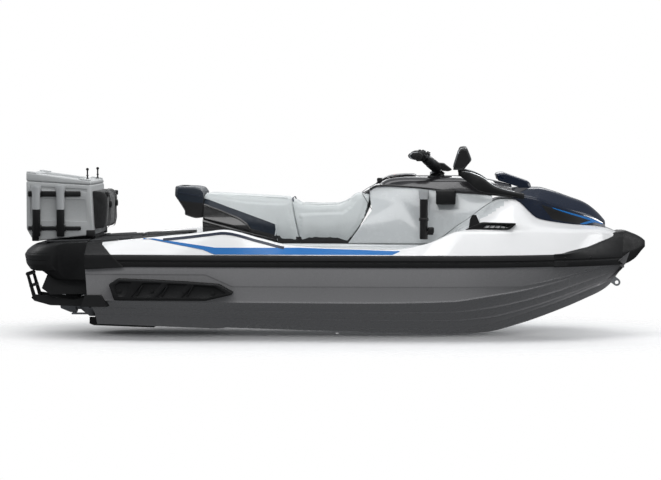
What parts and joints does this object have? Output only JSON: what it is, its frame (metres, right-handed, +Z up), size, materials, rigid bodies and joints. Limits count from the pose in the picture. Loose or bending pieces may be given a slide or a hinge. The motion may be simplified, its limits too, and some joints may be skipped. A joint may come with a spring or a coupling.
{
  "type": "personal watercraft",
  "caption": "Sit-down jet-drive watercraft with stepped two-piece seat, opening bow hood, handlebar steering and a cooler with rod tubes on the stern platform.",
  "frame": {"origin": "bottom centre of the whole craft's box, on its centre plane", "axes": "+X to the bow, +Y to port, +Z up"},
  "size_m": [3.732, 1.255, 1.142],
  "materials": {
    "hull_paint": "gloss gel coat, light grey",
    "deck_paint": "gloss gel coat, white",
    "black_rubber": "matt",
    "black_plastic": "textured",
    "foam_mat": "grooved foam",
    "steel": "marine stainless",
    "aluminium": "cast, painted",
    "seat_vinyl": "marine vinyl, light grey",
    "navy_vinyl": "marine vinyl, navy",
    "console_plastic": "gloss, dark grey",
    "grey_plastic": "satin, light grey",
    "hood_paint": "gloss, navy",
    "cooler_plastic": "pebbled, light grey",
    "pouch_fabric": "coated weave, black",
    "tank_plastic": "moulded",
    "red_plastic": "gloss"
  },
  "bodies": {
    "craft": {"hull_shell": "hull_paint", "deck_shell": "deck_paint", "rub_rails": "black_rubber", "bow_bumper": "black_rubber", "stern_platform": "black_plastic", "deck_mats": "foam_mat", "chine_guards": "black_plastic", "tow_eyes": "steel", "sponsons": "black_plastic", "sponson_bolts": "steel", "pump_tunnel": "black_plastic", "ride_plate": "black_plastic", "intake_grate": "aluminium", "pump_housing": "aluminium", "engine_block": "aluminium", "engine_mounts": "black_rubber", "air_box": "tank_plastic", "exhaust_muffler": "tank_plastic", "fuel_tank": "tank_plastic", "battery": "tank_plastic", "bearings": "black_rubber", "pedestal_trim": "console_plastic", "knee_shroud": "grey_plastic", "console_shell": "console_plastic", "storage_bin": "black_plastic", "ladder_bracket": "black_plastic", "cooler_base": "black_plastic", "rod_bracket": "grey_plastic", "tool_box": "black_plastic", "air_vents": "black_plastic"},
    "steering": {"steering_column": "steel", "handlebar": "steel", "grips": "black_rubber", "bar_pad": "black_plastic", "control_pods": "black_plastic"},
    "throttle": {"throttle_lever": "black_plastic"},
    "brake": {"brake_lever": "black_plastic"},
    "starter": {"start_button": "red_plastic"},
    "nozzle": {"steering_nozzle": "aluminium"},
    "bucket": {"reverse_bucket": "aluminium"},
    "rotor": {"impeller": "steel", "drive_shaft": "steel"},
    "hood": {"hood": "hood_paint", "display_pod": "hood_paint", "mirror_arms": "black_plastic"},
    "mirror_right": {"mirror_right": "black_plastic"},
    "mirror_left": {"mirror_left": "black_plastic"},
    "glovebox": {"glovebox_lid": "console_plastic"},
    "front_seat": {"front_seat": "seat_vinyl", "front_seat_base": "black_plastic"},
    "rear_seat": {"rear_seat": "seat_vinyl", "rear_seat_base": "black_plastic", "grab_handle": "navy_vinyl"},
    "ladder": {"boarding_ladder": "black_plastic"},
    "cooler": {"cooler_body": "cooler_plastic", "cooler_rack": "black_plastic", "cooler_pouch": "pouch_fabric"},
    "cooler_lid": {"cooler_lid": "cooler_plastic"},
    "latches": {"cooler_latches": "black_rubber"},
    "rod_holder": {"rod_holder": "black_plastic"}
  },
  "joints": [
    {"name": "steering_turn", "type": "hinge", "parent": "craft", "child": "steering", "pos_m": [0.6, 0, 0.985], "axis": [-0.342, 0, 0.9397], "range_deg": [-20, 20]},
    {"name": "nozzle_turn", "type": "hinge", "parent": "craft", "child": "nozzle", "pos_m": [-1.615, 0, 0.19], "axis": [0, 0, 1], "range_deg": [-20, 20]},
    {"name": "throttle_pull", "type": "hinge", "parent": "steering", "child": "throttle", "pos_m": [0.55, -0.252, 1.085], "axis": [0, 0, 1], "range_deg": [-8, 0], "stiffness_Nm_per_rad": 0.5, "springref_deg": 2.86},
    {"name": "brake_pull", "type": "hinge", "parent": "steering", "child": "brake", "pos_m": [0.55, 0.252, 1.085], "axis": [0, 0, 1], "range_deg": [0, 8], "stiffness_Nm_per_rad": 0.5, "springref_deg": -2.86},
    {"name": "start_press", "type": "slide", "parent": "steering", "child": "starter", "axis": [1, 0, 0], "range_m": [0, 0.003], "stiffness_N_per_m": 200, "springref_m": -0.001},
    {"name": "bucket_drop", "type": "hinge", "parent": "craft", "child": "bucket", "pos_m": [-1.615, 0, 0.19], "axis": [0, 1, 0], "range_deg": [-85, 0]},
    {"name": "rotor_spin", "type": "hinge", "parent": "craft", "child": "rotor", "pos_m": [-1, 0, 0.19], "axis": [1, 0, 0], "continuous": true},
    {"name": "hood_open", "type": "hinge", "parent": "craft", "child": "hood", "pos_m": [1.624, 0, 0.668], "axis": [0, 1, 0], "range_deg": [0, 50]},
    {"name": "mirror_right_turn", "type": "hinge", "parent": "hood", "child": "mirror_right", "pos_m": [0.748, -0.392, 1.006], "axis": [0, 0, 1], "range_deg": [-12, 12]},
    {"name": "mirror_left_turn", "type": "hinge", "parent": "hood", "child": "mirror_left", "pos_m": [0.748, 0.392, 1.006], "axis": [0, 0, 1], "range_deg": [-12, 12]},
    {"name": "glovebox_open", "type": "hinge", "parent": "craft", "child": "glovebox", "pos_m": [0.484, 0, 0.9665], "axis": [0, 1, 0], "range_deg": [0, 70]},
    {"name": "front_seat_lift", "type": "slide", "parent": "craft", "child": "front_seat", "axis": [-0.2149, 0, 0.9766], "range_m": [0, 0.3]},
    {"name": "rear_seat_lift", "type": "slide", "parent": "craft", "child": "rear_seat", "axis": [-0.2149, 0, 0.9766], "range_m": [0, 0.3]},
    {"name": "ladder_fold", "type": "hinge", "parent": "craft", "child": "ladder", "pos_m": [-1.796, 0, 0.24], "axis": [0, 1, 0], "range_deg": [-130, 0]},
    {"name": "cooler_lift", "type": "slide", "parent": "craft", "child": "cooler", "axis": [0, 0, 1], "range_m": [0, 0.25]},
    {"name": "lid_open", "type": "hinge", "parent": "cooler", "child": "cooler_lid", "pos_m": [-1.467, 0, 0.911], "axis": [0, 1, 0], "range_deg": [0, 95]},
    {"name": "latch_release", "type": "hinge", "parent": "cooler_lid", "child": "latches", "pos_m": [-1.8623, 0, 0.972], "axis": [0, 1, 0], "range_deg": [0, 85]},
    {"name": "rod_swivel", "type": "hinge", "parent": "craft", "child": "rod_holder", "pos_m": [0.532, -0.266, 0.856], "axis": [0, 1, 0], "range_deg": [-35, 35]}
  ],
  "couplings": [
    {"joint": "nozzle_turn", "follows": "steering_turn", "ratio": -1}
  ]
}
